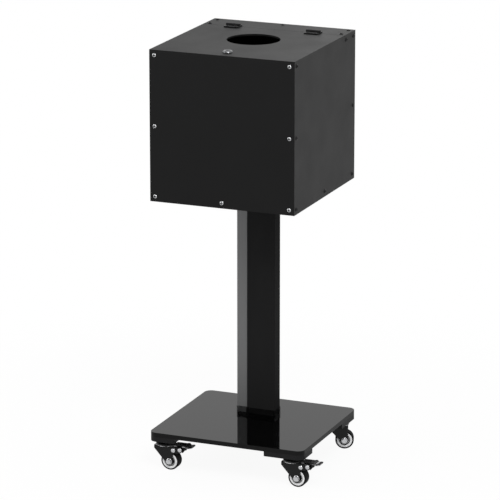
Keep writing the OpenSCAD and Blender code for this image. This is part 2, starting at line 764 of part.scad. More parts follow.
module channel(brake) {
    intersection() {
        translate([0, fork_half, 0]) rotate([90, 0, 0]) linear_extrude(2 * fork_half) cheek_outline(brake);
        difference() {
            translate([-heel, 0, 0]) rotate([90, 0, 90]) linear_extrude(2 * wheel_d) channel_section(0, 0);
            translate([-heel - overrun, 0, 0]) rotate([90, 0, 90]) linear_extrude(2 * wheel_d + 2 * overrun)
                channel_section(cheek_t, -overrun);
            span([roof_front, cheek_t - fork_half, 0], [2 * wheel_d, fork_half - cheek_t, caster_h]);
        }
    }
}
module caster_fork(sx, sy, brake) {
    color(caster_color) at_caster(sx, sy) difference() {
        union() {
            channel(brake);
            intersection() {
                translate([0, fork_half, 0]) rotate([90, 0, 0]) linear_extrude(2 * fork_half) web_outline();
                translate([-heel, 0, 0]) rotate([90, 0, 90]) linear_extrude(heel) channel_section(0, 0);
            }
            rotate_extrude() polygon([[0, crown_low], [crown_foot_r, crown_low], [crown_foot_r, cheek_top],
                [crown_d / 2, cheek_top], [crown_d / 2, cheek_top + crown_edge],
                [crown_d / 2 - crown_slope, crown_top], [0, crown_top]]);
        }
        translate([0, 0, crown_low - overrun]) cylinder(d = kingpin_d + 2 * run_gap, h = crown_t + 2 * overrun);
        across(trail, axle_z) cylinder(d = axle_d + 2 * run_gap, h = 2 * fork_half + 2 * overrun, center = true);
        if (brake) for (p = [[pivot_x, pivot_z], [stop_x, stop_z]])
            across(p[0], p[1]) cylinder(d = brake_pin_d + 2 * run_gap, h = 2 * fork_half + 2 * overrun, center = true);
    }
}
module caster_fork_front_left() { caster_fork(-1, -1, true); }
module caster_fork_front_right() { caster_fork(1, -1, true); }
module caster_fork_rear_left() { caster_fork(-1, 1, false); }
module caster_fork_rear_right() { caster_fork(1, 1, false); }

// Wheel: a rim with a broad side ring and a recess, and a tyre with round shoulders
tyre_t = 4;
shoulder_r = 3;
rim_side_gap = 0.4;         // the ring's side lies this far inside the tyre's
ring_w_share = 0.26;        // width of the side ring, of the wheel's radius
hub_r_share = 0.36;
wheel_recess_share = 0.44;  // depth of the recess, of half the wheel's width
ring_taper = 1.6;           // slope of the recess's outer wall
hub_gap = 0.8;              // between the hub's end and a cheek
rim_r = wheel_d / 2 - tyre_t - run_gap;
rim_color = [0.80, 0.80, 0.81];
module wheel_rim(sx, sy) {
    half = wheel_w / 2 - rim_side_gap;
    ring_r = rim_r - ring_w_share * wheel_d / 2;
    hub_r = hub_r_share * wheel_d / 2;
    hub_half = wheel_w / 2 + cheek_gap - hub_gap;
    web_half = wheel_w / 2 * (1 - wheel_recess_share);
    bore_r = axle_d / 2 + run_gap;
    color(rim_color) at_caster(sx, sy) across(trail, axle_z) rotate_extrude()
        polygon([[bore_r, -hub_half], [hub_r, -hub_half], [hub_r, -web_half], [ring_r - ring_taper, -web_half],
            [ring_r, -half], [rim_r, -half], [rim_r, half], [ring_r, half], [ring_r - ring_taper, web_half],
            [hub_r, web_half], [hub_r, hub_half], [bore_r, hub_half]]);
}
module wheel_rim_front_left() { wheel_rim(-1, -1); }
module wheel_rim_front_right() { wheel_rim(1, -1); }
module wheel_rim_rear_left() { wheel_rim(-1, 1); }
module wheel_rim_rear_right() { wheel_rim(1, 1); }
tyre_color = [0.04, 0.04, 0.045];
module tyre(sx, sy) {
    inner = wheel_d / 2 - tyre_t;
    color(tyre_color) at_caster(sx, sy) across(trail, axle_z) rotate_extrude() intersection() {
        translate([inner, -wheel_w / 2]) square([tyre_t, wheel_w]);
        translate([inner + tyre_t / 2 - shoulder_r, 0]) rounded(tyre_t + 2 * shoulder_r, wheel_w, shoulder_r);
    }
}
module tyre_front_left() { tyre(-1, -1); }
module tyre_front_right() { tyre(1, -1); }
module tyre_rear_left() { tyre(-1, 1); }
module tyre_rear_right() { tyre(1, 1); }

// Axle: a hexagon bolt with a washer under its head, and its nut
axle_head_d = 15;           // across the corners
axle_head_h = 5.2;
axle_nut_h = 6.4;
washer_d = 16.5;
washer_t = 1.2;
axle_end = 2;
module axle_bolt(sx, sy) {
    color(chrome_color) at_caster(sx, sy) across(trail, axle_z) {
        translate([0, 0, fork_half]) {
            cylinder(d = washer_d, h = washer_t);
            translate([0, 0, washer_t]) cylinder(d = axle_head_d, h = axle_head_h, $fn = 6);
        }
        translate([0, 0, -fork_half - axle_nut_h - axle_end])
            cylinder(d = axle_d, h = 2 * fork_half + axle_nut_h + axle_end + washer_t);
        translate([0, 0, -fork_half - axle_nut_h]) hex_nut(axle_head_d, axle_d, axle_nut_h);
    }
}
module axle_bolt_front_left() { axle_bolt(-1, -1); }
module axle_bolt_front_right() { axle_bolt(1, -1); }
module axle_bolt_rear_left() { axle_bolt(-1, 1); }
module axle_bolt_rear_right() { axle_bolt(1, 1); }

// Brake: a lever on the pivot pin, whose shoe meets the tyre when the pedal is pressed
pedal_turn = 20;            // degrees that the pedal goes down
sheet_t = 2.5;
side_t = 2.2;
lever_w = 24;
pedal_hub_r = 5.5;
shoe_x = 9;                 // place of the shoe's centre from the pivot
shoe_z = -6;
pedal_rise = 2.3;           // height of the lever above the cheeks
pedal_step = 4;             // drop of the blade below the lever
pedal_tip_rise = 1.5;
blade_ahead = 11;           // start of the blade from the stop pin
blade_x = stop_x + blade_ahead;
blade_r = 6;
shoe_turned = [shoe_x * cos(pedal_turn) + shoe_z * sin(pedal_turn),
    shoe_z * cos(pedal_turn) - shoe_x * sin(pedal_turn)];
shoe_r = norm([pivot_x - trail, pivot_z - axle_z] + shoe_turned) - wheel_d / 2 - free_gap;
module lever_side_outline() {
    low = cheek_top + pedal_rise;
    front = stop_x + brake_pin_d;
    translate([pivot_x, pivot_z]) circle(r = pedal_hub_r);
    translate([pivot_x + shoe_x, pivot_z + shoe_z]) circle(r = shoe_r);
    polygon([[pivot_x - pedal_hub_r, pivot_z], [pivot_x, pivot_z - pedal_hub_r],
        [pivot_x + shoe_x, pivot_z + shoe_z - shoe_r], [pivot_x + shoe_x + shoe_r, pivot_z + shoe_z],
        [pivot_x + pedal_hub_r + shoe_r, low], [pivot_x + side_t, low]]);
    polygon([[front, low], [front, stop_z - lobe_r], [front + side_t, stop_z - lobe_r],
        [blade_x + blade_r + sheet_t, low - pedal_step], [blade_x + blade_r, low]]);
}
module brake_pedal(sx, sy) {
    top = cheek_top + pedal_rise + sheet_t;
    blade_top = top - pedal_step;
    color(caster_color) at_caster(sx, sy) difference() {
        union() {
            for (y = [side_t - lever_w / 2, lever_w / 2])
                translate([0, y, 0]) rotate([90, 0, 0]) linear_extrude(side_t) lever_side_outline();
            across(pivot_x, pivot_z) cylinder(r = pedal_hub_r, h = lever_w, center = true);
            across(pivot_x + shoe_x, pivot_z + shoe_z) cylinder(r = shoe_r, h = lever_w, center = true);
            span([pivot_x + side_t, -lever_w / 2, top - sheet_t], [blade_x + sheet_t, lever_w / 2, top]);
            pedal_blade(top, blade_top);
        }
        across(pivot_x, pivot_z) cylinder(d = brake_pin_d + 2 * run_gap, h = lever_w + 2 * overrun, center = true);
    }
}
module pedal_blade(top, blade_top) {
    // a stepped sheet, with the round end of its plan cut by an upright prism
    intersection() {
        translate([0, pedal_w / 2, 0]) rotate([90, 0, 0]) linear_extrude(pedal_w)
            polygon([[blade_x, top], [blade_x + blade_r, top], [blade_x + blade_r + pedal_step, blade_top],
                [pedal_reach, blade_top + pedal_tip_rise], [pedal_reach, blade_top + pedal_tip_rise - sheet_t],
                [blade_x + blade_r + pedal_step - sheet_t / 2, blade_top - sheet_t],
                [blade_x + blade_r - sheet_t / 2, top - sheet_t], [blade_x, top - sheet_t]]);
        translate([(blade_x + pedal_reach) / 2, 0, axle_z]) linear_extrude(caster_h)
            rounded(pedal_reach - blade_x, pedal_w, blade_r);
    }
}
module brake_pedal_front_left() { brake_pedal(-1, -1); }
module brake_pedal_front_right() { brake_pedal(1, -1); }
module dome(r, h) {
    // a cap of a sphere, r wide and h high
    sphere_r = (r * r + h * h) / (2 * h);
    rotate_extrude() intersection() {
        translate([0, h - sphere_r]) circle(r = sphere_r, $fn = 128);
        square([r, h]);
    }
}
module brake_pins(sx, sy) {
    color(chrome_color) at_caster(sx, sy) for (p = [[pivot_x, pivot_z], [stop_x, stop_z]])
        across(p[0], p[1]) {
            cylinder(d = brake_pin_d, h = 2 * fork_half, center = true);
            for (turn = [0, 180]) rotate([turn, 0, 0]) translate([0, 0, fork_half])
                dome(brake_head_d / 2, brake_head_h);
        }
}
module brake_pins_front_left() { brake_pins(-1, -1); }
module brake_pins_front_right() { brake_pins(1, -1); }

in_frame() front_panel();
in_frame() rear_panel();
in_frame() left_panel();
in_frame() right_panel();
in_frame() floor_panel();
in_frame() rear_top_strip();
in_frame() corner_blocks();
in_frame() edge_blocks();
in_frame() front_panel_screws();
in_frame() rear_panel_screws();
in_frame() side_panel_screws();
in_frame() top_strip_screws();
in_frame() floor_panel_screws();
in_frame() lock_strike();
in_frame() strike_screws();
in_frame() hinge_fixed_leaves();
in_frame() hinge_pins();
in_frame() hinge_fixed_screws();
in_frame() lid_panel();
in_frame() hinge_lid_leaves();
in_frame() hinge_lid_screws();
in_frame() lock_housing();
in_frame() lock_nut();
in_frame() lock_plug();
in_frame() lock_cam();
in_frame() cam_screw();
in_frame() post_tube();
in_frame() post_side_profile();
in_frame() side_profile_screws();
in_frame() post_head_plate();
in_frame() post_head_bolts();
in_frame() post_foot_plug();
in_frame() post_foot_collar();
in_frame() post_under_plate();
in_frame() post_foot_bolts();
in_frame() base_plate();
in_frame() base_blocks();
in_frame() base_block_screws();
in_frame() caster_plates();
in_frame() caster_plate_screws();
in_frame() caster_fork_front_left();
in_frame() caster_fork_front_right();
in_frame() caster_fork_rear_left();
in_frame() caster_fork_rear_right();
in_frame() wheel_rim_front_left();
in_frame() wheel_rim_front_right();
in_frame() wheel_rim_rear_left();
in_frame() wheel_rim_rear_right();
in_frame() tyre_front_left();
in_frame() tyre_front_right();
in_frame() tyre_rear_left();
in_frame() tyre_rear_right();
in_frame() axle_bolt_front_left();
in_frame() axle_bolt_front_right();
in_frame() axle_bolt_rear_left();
in_frame() axle_bolt_rear_right();
in_frame() brake_pedal_front_left();
in_frame() brake_pedal_front_right();
in_frame() brake_pins_front_left();
in_frame() brake_pins_front_right();
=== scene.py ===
# Raffle box on a rolling stand: camera, studio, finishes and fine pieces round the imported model.
# Everything is in metres, +Z up, with the front facing -Y.
import json
import math
import bpy
import numpy as np
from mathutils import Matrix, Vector


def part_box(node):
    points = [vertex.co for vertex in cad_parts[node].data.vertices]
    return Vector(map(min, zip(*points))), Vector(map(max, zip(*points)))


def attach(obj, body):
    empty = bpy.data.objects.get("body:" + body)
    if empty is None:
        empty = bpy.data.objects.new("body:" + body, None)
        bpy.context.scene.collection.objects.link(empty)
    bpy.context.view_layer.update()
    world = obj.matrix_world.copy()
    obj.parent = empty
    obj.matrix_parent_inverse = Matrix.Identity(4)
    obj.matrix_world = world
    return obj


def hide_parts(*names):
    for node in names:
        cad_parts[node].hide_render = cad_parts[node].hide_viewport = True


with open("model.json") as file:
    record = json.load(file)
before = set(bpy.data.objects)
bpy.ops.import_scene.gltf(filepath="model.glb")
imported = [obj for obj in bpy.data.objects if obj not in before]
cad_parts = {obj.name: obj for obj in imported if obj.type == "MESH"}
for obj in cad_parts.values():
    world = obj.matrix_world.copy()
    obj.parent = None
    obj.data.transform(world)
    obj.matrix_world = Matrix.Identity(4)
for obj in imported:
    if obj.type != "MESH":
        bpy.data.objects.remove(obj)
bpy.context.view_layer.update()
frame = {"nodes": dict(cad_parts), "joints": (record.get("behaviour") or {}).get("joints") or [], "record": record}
nodes = frame["nodes"]
print("frame loaded:", len(nodes), "pieces")


# Camera
view = {
    "target": (-0.027, -0.010, 0.577),  # point in the middle of the picture
    "azimuth": 22.4,                    # degrees towards +X from straight in front
    "elevation": 15.4,                  # degrees above the horizon
    "distance": 9.0,
    "lens": 246.6,
    "sensor": 36.0,
    "farthest": 100.0,
}


def addCamera(v):
    turn, lift = math.radians(v["azimuth"]), math.radians(v["elevation"])
    back = Vector((math.sin(turn) * math.cos(lift), -math.cos(turn) * math.cos(lift), math.sin(lift)))
    data = bpy.data.cameras.new("camera")
    data.lens = v["lens"]
    data.sensor_width = v["sensor"]
    data.clip_end = v["farthest"]
    camera = bpy.data.objects.new("camera", data)
    bpy.context.scene.collection.objects.link(camera)
    camera.location = Vector(v["target"]) + v["distance"] * back
    camera.rotation_euler = (-back).to_track_quat("-Z", "Y").to_euler()
    bpy.context.scene.camera = camera


addCamera(view)
bpy.context.scene.view_settings.view_transform = "Standard"
print("camera set")


# Small helpers for shader trees
def startMaterial(name, **constants):
    # a Principled material whose plain numbers sit on the shader's own sockets
    material = bpy.data.materials.new(name)
    material.use_nodes = True
    tree = material.node_tree
    shader = tree.nodes["Principled BSDF"]
    for socket, value in constants.items():
        shader.inputs[socket.replace("_", " ")].default_value = value
    return material, tree, shader


def addNode(tree, kind, inputs=(), **settings):
    # a node with its settings; an input is either a number or another node's output
    node = tree.nodes.new(kind)
    for key, value in settings.items():
        setattr(node, key, value)
    for key, value in dict(inputs).items():
        if isinstance(value, bpy.types.NodeSocket):
            tree.links.new(value, node.inputs[key])
        else:
            node.inputs[key].default_value = value
    return node


def objectPoint(tree, stretch=(1, 1, 1)):
    # Object coordinates, pulled out along an axis where stretch is below 1
    point = addNode(tree, "ShaderNodeTexCoord").outputs["Object"]
    return addNode(tree, "ShaderNodeMapping", {"Vector": point, "Scale": stretch}).outputs["Vector"]


def noise(tree, size, stretch=(1, 1, 1), detail=3, rough=0.55):
    # soft random cells, size metres across, from 0 to 1
    cells = {"Vector": objectPoint(tree, stretch), "Scale": 1 / size, "Detail": detail, "Roughness": rough}
    return addNode(tree, "ShaderNodeTexNoise", cells).outputs["Fac"]


def spread(tree, value, low, high, toLow=0.0, toHigh=1.0):
    # value between low and high becomes toLow to toHigh, and stays there beyond them
    limits = {"Value": value, "From Min": low, "From Max": high, "To Min": toLow, "To Max": toHigh}
    return addNode(tree, "ShaderNodeMapRange", limits).outputs["Result"]


def calculate(tree, operation, first, second=0.0, clamp=False):
    node = addNode(tree, "ShaderNodeMath", {0: first, 1: second}, operation=operation, use_clamp=clamp)
    return node.outputs[0]


def heightOf(tree, vector):
    # the Z part of a point or a normal
    return addNode(tree, "ShaderNodeSeparateXYZ", {0: vector}).outputs[2]


def blendColour(tree, amount, first, second):
    mix = addNode(tree, "ShaderNodeMix", {"Factor": amount}, data_type="RGBA")
    for index, colour in ((6, first), (7, second)):
        if isinstance(colour, bpy.types.NodeSocket):
            tree.links.new(colour, mix.inputs[index])
        else:
            mix.inputs[index].default_value = (*colour, 1)
    return mix.outputs[2]


def roundedNormal(tree, radius):
    # shading normal of edges broken to this radius
    return addNode(tree, "ShaderNodeBevel", {"Radius": radius}, samples=4).outputs["Normal"]


def edgeWear(tree, normal, low=0.004, high=0.12):
    # 0 on flat ground, rising to 1 on the broken edges: one less the cosine of the two normals
    flat = addNode(tree, "ShaderNodeNewGeometry").outputs["Normal"]
    same = addNode(tree, "ShaderNodeVectorMath", {0: flat, 1: normal}, operation="DOT_PRODUCT")
    return spread(tree, calculate(tree, "SUBTRACT", 1.0, same.outputs["Value"]), low, high)


def openGround(tree, reach):
    # 1 in the open, falling towards 0 where the piece's own walls stand close, within reach metres
    node = addNode(tree, "ShaderNodeAmbientOcclusion", {"Distance": reach}, samples=8, only_local=True)
    return node.outputs["AO"]


def sway(tree, pattern, rough, low=0.3, high=0.7):
    # roughness that follows a pattern, from the first to the second number of rough
    return spread(tree, pattern, low, high, *rough)


def bump(tree, height, depth, normal=None):
    # depth is the height of the relief in metres
    inputs = {"Height": height, "Strength": 1.0, "Distance": depth}
    if normal is not None:
        inputs["Normal"] = normal
    return addNode(tree, "ShaderNodeBump", inputs).outputs["Normal"]


def setFinish(tree, shader, colour, rough, normal):
    for socket, value in (("Base Color", colour), ("Roughness", rough), ("Normal", normal)):
        tree.links.new(value, shader.inputs[socket])


# Finishes, one for each slot of the record. In their values, shine is the specular level, rough the lowest
# and highest roughness, relief the height of the grain and edge the radius of broken edges. A span goes to
# spread: the low and high of a pattern and what they become, 0 and 1 where that is left out. A stretch goes
# to noise, other threes are colours, and other numbers are sizes.
panelLook = {
    "colour": (0.0014, 0.0014, 0.0015), "dust": (0.0030, 0.0030, 0.0032), "worn": (0.016, 0.016, 0.017),
    "shine": 0.172, "rough": (0.48, 0.53), "grain": 0.0006, "relief": 0.00003, "edge": 0.0007,
    "cloud": 0.09, "dustSpan": (0.35, 0.75, 0.0, 0.35),
    "scuff": 0.004, "scuffSpan": (0.35, 0.65, 0.1, 0.8),
}


def satinSheet():
    # moulded black sheet: fine grain, faint hand marks, edges a little worn
    look = panelLook
    material, tree, shader = startMaterial("satin black sheet", Specular_IOR_Level=look["shine"])
    normal = roundedNormal(tree, look["edge"])
    clouds = noise(tree, look["cloud"], detail=4)
    grain = noise(tree, look["grain"], detail=2)
    scuffs = spread(tree, noise(tree, look["scuff"]), *look["scuffSpan"])
    wear = calculate(tree, "MULTIPLY", edgeWear(tree, normal), scuffs)
    colour = blendColour(tree, spread(tree, clouds, *look["dustSpan"]), look["colour"], look["dust"])
    colour = blendColour(tree, wear, colour, look["worn"])
    rough = sway(tree, clouds, look["rough"])
    setFinish(tree, shader, colour, rough, bump(tree, grain, look["relief"], normal))
    return material


blockLook = {
    "colour": (0.003, 0.003, 0.0032), "rubbed": (0.007, 0.007, 0.0075),
    "shine": 0.17, "rough": (0.53, 0.66), "lines": 0.0012, "stretch": (0.06, 0.06, 1), "relief": 0.00003,
    "edge": 0.0006,
}


def machinedBlock():
    # black plastic with the fine lines of the saw
    look = blockLook
    material, tree, shader = startMaterial("machined black block", Specular_IOR_Level=look["shine"])
    lines = noise(tree, look["lines"], look["stretch"], detail=2)
    colour = blendColour(tree, lines, look["colour"], look["rubbed"])
    normal = bump(tree, lines, look["relief"], roundedNormal(tree, look["edge"]))
    setFinish(tree, shader, colour, sway(tree, lines, look["rough"]), normal)
    return material


screwLook = {
    "colour": (0.60, 0.61, 0.62), "dull": (0.40, 0.405, 0.415), "recessShade": (0.02, 0.02, 0.021),
    "rough": (0.14, 0.30), "spots": 0.0011, "relief": 0.00002, "dullSpan": (0.45, 0.7, 0.0, 0.6),
    "reach": 0.0035, "openSpan": (0.70, 0.95),      # how far from a wall the painted shade reaches
}


def zincPlate():
    # bright zinc: small duller spots, a slightly wavy surface, and painted shade that darkens the cross
    look = screwLook
    material, tree, shader = startMaterial("bright zinc plate", Metallic=1.0)
    spots = noise(tree, look["spots"])
    colour = blendColour(tree, spread(tree, spots, *look["dullSpan"]), look["colour"], look["dull"])
    # painted shade: the colour goes near black where the head's own walls close in, in the cross
    clear = spread(tree, openGround(tree, look["reach"]), *look["openSpan"])
    colour = blendColour(tree, clear, look["recessShade"], colour)
    setFinish(tree, shader, colour, sway(tree, spots, look["rough"]), bump(tree, spots, look["relief"]))
    return material


oxideLook = {
    "colour": (0.004, 0.004, 0.0045), "worn": (0.04, 0.04, 0.042),
    "shine": 0.22, "rough": (0.26, 0.44), "spots": 0.0018, "relief": 0.00002, "edge": 0.0003,
}


def blackOxide():
    # blackened steel, rubbed in spots along its edges
    look = oxideLook
    material, tree, shader = startMaterial("black oxide steel", Specular_IOR_Level=look["shine"])
    normal = roundedNormal(tree, look["edge"])
    spots = noise(tree, look["spots"])
    wear = calculate(tree, "MULTIPLY", edgeWear(tree, normal), spots)
    colour = blendColour(tree, wear, look["colour"], look["worn"])
    rough = sway(tree, spots, look["rough"])
    setFinish(tree, shader, colour, rough, bump(tree, spots, look["relief"], normal))
    return material


hingeLook = {
    "colour": (0.0028, 0.0028, 0.003), "worn": (0.07, 0.07, 0.073),
    "shine": 0.17, "rough": (0.30, 0.44), "peel": 0.0009, "relief": 0.00006, "edge": 0.0005,
    "chip": 0.002, "chipSpan": (0.5, 0.68),
}


def hingePaint():
    # powder coat with orange peel, rubbed through a little on the edges
    look = hingeLook
    material, tree, shader = startMaterial("hinge powder coat", Specular_IOR_Level=look["shine"])
    normal = roundedNormal(tree, look["edge"])
    peel = noise(tree, look["peel"], detail=2)
    chips = spread(tree, noise(tree, look["chip"]), *look["chipSpan"])
    rubbed = calculate(tree, "MULTIPLY", edgeWear(tree, normal), chips)
    colour = blendColour(tree, rubbed, look["colour"], look["worn"])
    rough = sway(tree, peel, look["rough"])
    setFinish(tree, shader, colour, rough, bump(tree, peel, look["relief"], normal))
    return material


chromeLook = {
    "colour": (0.17, 0.173, 0.178), "smeared": (0.12, 0.122, 0.126), "rough": (0.20, 0.34), "edge": 0.0004,
    "smear": 0.006, "smearSpan": (0.4, 0.75),
}


def chromePlate():
    # polished chrome with faint finger smears
    look = chromeLook
    material, tree, shader = startMaterial("polished chrome", Metallic=1.0)
    smear = noise(tree, look["smear"], detail=4)
    colour = blendColour(tree, smear, look["colour"], look["smeared"])
    rough = sway(tree, smear, look["rough"], *look["smearSpan"])
    setFinish(tree, shader, colour, rough, roundedNormal(tree, look["edge"]))
    return material


postLook = {
    "colour": (0.0134, 0.0134, 0.0136), "rub": (0.0170, 0.0170, 0.0173),
    "shine": 0.01, "rough": (0.57, 0.70), "peel": 0.0011, "relief": 0.00004, "edge": 0.0005,
    "cloud": 0.05, "stretch": (1, 1, 0.35), "rubSpan": (0.4, 0.75, 0.0, 0.4),
}


def postCoat():
    # satin coat with a fine peel and long faint rub marks
    look = postLook
    material, tree, shader = startMaterial("satin black post coat", Specular_IOR_Level=look["shine"])
    normal = roundedNormal(tree, look["edge"])
    peel = noise(tree, look["peel"], detail=2)
    clouds = noise(tree, look["cloud"], look["stretch"], detail=4)
    colour = blendColour(tree, spread(tree, clouds, *look["rubSpan"]), look["colour"], look["rub"])
    rough = sway(tree, clouds, look["rough"])
    setFinish(tree, shader, colour, rough, bump(tree, peel, look["relief"], normal))
    return material


profileLook = {
    "colour": (0.121, 0.122, 0.123), "pale": (0.142, 0.143, 0.144),
    "shine": 0.3, "rough": (0.36, 0.50), "lines": 0.0008, "stretch": (1, 1, 0.004), "relief": 0.00002,
    "edge": 0.0005,
}


def greyProfile():
    # drawn metal profile: long faint lines along its length under a grey coat
    look = profileLook
    material, tree, shader = startMaterial("grey drawn profile", Specular_IOR_Level=look["shine"])
    lines = noise(tree, look["lines"], look["stretch"])
    colour = blendColour(tree, lines, look["colour"], look["pale"])
    normal = bump(tree, lines, look["relief"], roundedNormal(tree, look["edge"]))
    setFinish(tree, shader, colour, sway(tree, lines, look["rough"]), normal)
    return material


glossLook = {
    "colour": (0.0008, 0.0008, 0.0009), "dust": (0.006, 0.006, 0.0065), "shine": 0.155, "edge": 0.0009,
    "rough": (0.035, 0.105), "smudge": 0.05, "smudgeSpan": (0.45, 0.75),
    "scratch": 0.0007, "stretch": (0.02, 1, 1), "scratchSpan": (0.66, 0.74, 0.0, 0.08),
    "sawnSpan": (0.2, 0.9, 0.5, 0.0),       # roughness from the sawn sides to the level faces
    "speck": 0.0016, "dustSpan": (0.66, 0.8, 0.0, 0.8),
}


def glossPlate():
    # polished black sheet: a mirror with smudges, hairline scratches and a little dust, and matt sawn sides
    look = glossLook
    material, tree, shader = startMaterial("polished black sheet", Specular_IOR_Level=look["shine"])
    normal = roundedNormal(tree, look["edge"])
    smudge = noise(tree, look["smudge"], detail=5, rough=0.65)
    scratch = noise(tree, look["scratch"], look["stretch"], detail=1)
    specks = noise(tree, look["speck"], detail=2)
    marked = sway(tree, smudge, look["rough"], *look["smudgeSpan"])
    polished = calculate(tree, "ADD", marked, spread(tree, scratch, *look["scratchSpan"]))
    facing = heightOf(tree, addNode(tree, "ShaderNodeNewGeometry").outputs["Normal"])
    level = calculate(tree, "ABSOLUTE", facing)     # 1 on the top and underside, 0 on the sides
    rough = calculate(tree, "MAXIMUM", polished, spread(tree, level, *look["sawnSpan"]))
    colour = blendColour(tree, spread(tree, specks, *look["dustSpan"]), look["colour"], look["dust"])
    setFinish(tree, shader, colour, rough, normal)
    return material


casterLook = {
    "colour": (0.0028, 0.0028, 0.003), "worn": (0.10, 0.10, 0.105), "glintColour": (0.62, 0.62, 0.63),
    "shine": 0.2, "rough": (0.18, 0.34), "peel": 0.0010, "relief": 0.00004,
    "bend": 0.0016, "bendSpan": (0.08, 0.3),                # radius of the pressed edges, and their wear
    "chip": 0.003, "chipSpan": (0.48, 0.62),
    "rim": 0.0676, "glintSpan": (0.0007, 0.0010, 1.0, 0.0),   # height of the band of painted glint, and its fade
    "gap": 0.012, "gapSpan": (0.42, 0.56),                  # breaks in the painted glint band
}


def casterCoat():
    # pressed steel under black lacquer, bright where the edges have rubbed, with a broken band of painted glint
    # along the crown's lower rim
    look = casterLook
    material, tree, shader = startMaterial("black caster lacquer", Specular_IOR_Level=look["shine"])
    normal = roundedNormal(tree, look["bend"])
    peel = noise(tree, look["peel"], detail=2)
    chips = spread(tree, noise(tree, look["chip"]), *look["chipSpan"])
    rubbed = calculate(tree, "MULTIPLY", edgeWear(tree, normal, *look["bendSpan"]), chips)
    # painted glint: a light grey band, broken by noise, at the height of the crown's lower rim
    above = calculate(tree, "SUBTRACT", heightOf(tree, objectPoint(tree)), look["rim"])
    glintBand = spread(tree, calculate(tree, "ABSOLUTE", above), *look["glintSpan"])
    rim = calculate(tree, "MULTIPLY", glintBand, spread(tree, noise(tree, look["gap"]), *look["gapSpan"]))
    colour = blendColour(tree, rubbed, look["colour"], look["worn"])
    colour = blendColour(tree, rim, colour, look["glintColour"])
    rough = sway(tree, peel, look["rough"])
    setFinish(tree, shader, colour, rough, bump(tree, peel, look["relief"], normal))
    return material


rimLook = {
    "colour": (0.78, 0.785, 0.79), "grime": (0.42, 0.42, 0.42),
    "shine": 0.5, "rough": (0.31, 0.48), "grain": 0.0007, "relief": 0.00002, "edge": 0.0004,
    "smut": 0.006, "grimeSpan": (0.5, 0.8, 0.0, 0.5),
}


def silverRim():
    # silver-grey moulded wheel body, greyer where the floor's dirt settles
    look = rimLook
    material, tree, shader = startMaterial("silver moulded rim", Specular_IOR_Level=look["shine"])
    grain = noise(tree, look["grain"], detail=2)
    smut = noise(tree, look["smut"], detail=4)
    colour = blendColour(tree, spread(tree, smut, *look["grimeSpan"]), look["colour"], look["grime"])
    normal = bump(tree, grain, look["relief"], roundedNormal(tree, look["edge"]))
    setFinish(tree, shader, colour, sway(tree, smut, look["rough"]), normal)
    return material


tyreLook = {
    "colour": (0.0035, 0.0035, 0.0037), "dust": (0.014, 0.0137, 0.0132),
    "shine": 0.12, "rough": (0.67, 0.84), "grain": 0.0005, "relief": 0.00005,
    "patch": 0.004, "dustSpan": (0.5, 0.75, 0.0, 0.6),
}


def tyreRubber():
    # black rubber with a fine grain and patches of dust
    look = tyreLook
    material, tree, shader = startMaterial("black tyre rubber", Specular_IOR_Level=look["shine"])
    grain = noise(tree, look["grain"])
    patches = noise(tree, look["patch"], detail=4)
    colour = blendColour(tree, spread(tree, patches, *look["dustSpan"]), look["colour"], look["dust"])
    setFinish(tree, shader, colour, sway(tree, patches, look["rough"]), bump(tree, grain, look["relief"]))
    return material


boltLook = {
    "colour": (0.58, 0.585, 0.595), "dull": (0.40, 0.405, 0.415), "rough": (0.12, 0.28), "spots": 0.002,
    "edge": 0.0005,
}


def boltPlate():
    # bright plating with duller spots
    look = boltLook
    material, tree, shader = startMaterial("bright plated bolt", Metallic=1.0)
    spots = noise(tree, look["spots"])
    colour = blendColour(tree, spots, look["colour"], look["dull"])
    setFinish(tree, shader, colour, sway(tree, spots, look["rough"]), roundedNormal(tree, look["edge"]))
    return material


shadeSleeveLook = {
    "colour": (0.0010, 0.0010, 0.0011), "hazy": (0.003, 0.003, 0.0032), "shine": 0.08, "rough": (0.17, 0.32),
    "haze": 0.012, "edge": 0.0004,
    "cover": 0.30,      # dark share of each of its faces, of which light passes four: the painted shade laid over the foot of the post
}


def shadeSleeve():
    # clear plastic tinted dark to lay painted shade over the foot of the post, with a faint haze
    look = shadeSleeveLook
    # painted shade: the tinted sleeve darkens the foot of the post behind it
    material, tree, shader = startMaterial("clear sleeve of painted shade", Specular_IOR_Level=look["shine"],
                                           Alpha=look["cover"])
    haze = noise(tree, look["haze"], detail=4)
    colour = blendColour(tree, haze, look["colour"], look["hazy"])
    setFinish(tree, shader, colour, sway(tree, haze, look["rough"]), roundedNormal(tree, look["edge"]))
    return material


finishes = {
    "black_panel": satinSheet(), "black_block": machinedBlock(), "steel_screw": zincPlate(),
    "black_screw": blackOxide(), "hinge_black": hingePaint(), "lock_chrome": chromePlate(),
    "post_black": postCoat(), "profile_grey": greyProfile(), "base_gloss": glossPlate(),
    "collar_smoke": shadeSleeve(), "caster_black": casterCoat(), "rim_silver": silverRim(),
    "tyre_black": tyreRubber(), "bolt_chrome": boltPlate(),
}
slotOf = {part["node"]: part["material_slot"] for part in frame["record"]["subparts"]}
for name, piece in nodes.items():
    piece.data.materials.clear()
    piece.data.materials.append(finishes[slotOf[name]])
print("finishes set:", len(finishes))


# Surfaces: grids of points, welded where rows, columns or poles meet
def turned(profile, columns, radius=None):
    # rows of (radius, height) carried round the axis: (radius cos a, radius sin a, height), with a from 0 to
    # 360 degrees; radius, where given, is a function of a that takes the place of the rows' own
    a = np.linspace(0, 2 * np.pi, columns + 1)
    r = radius(a) if radius else np.broadcast_to(profile[:, :1], (len(profile), columns + 1))
    z = np.broadcast_to(profile[:, 1:2], r.shape)
    points = np.stack([r * np.cos(a), r * np.sin(a), z], -1)
    points[:, -1] = points[:, 0]
    return points


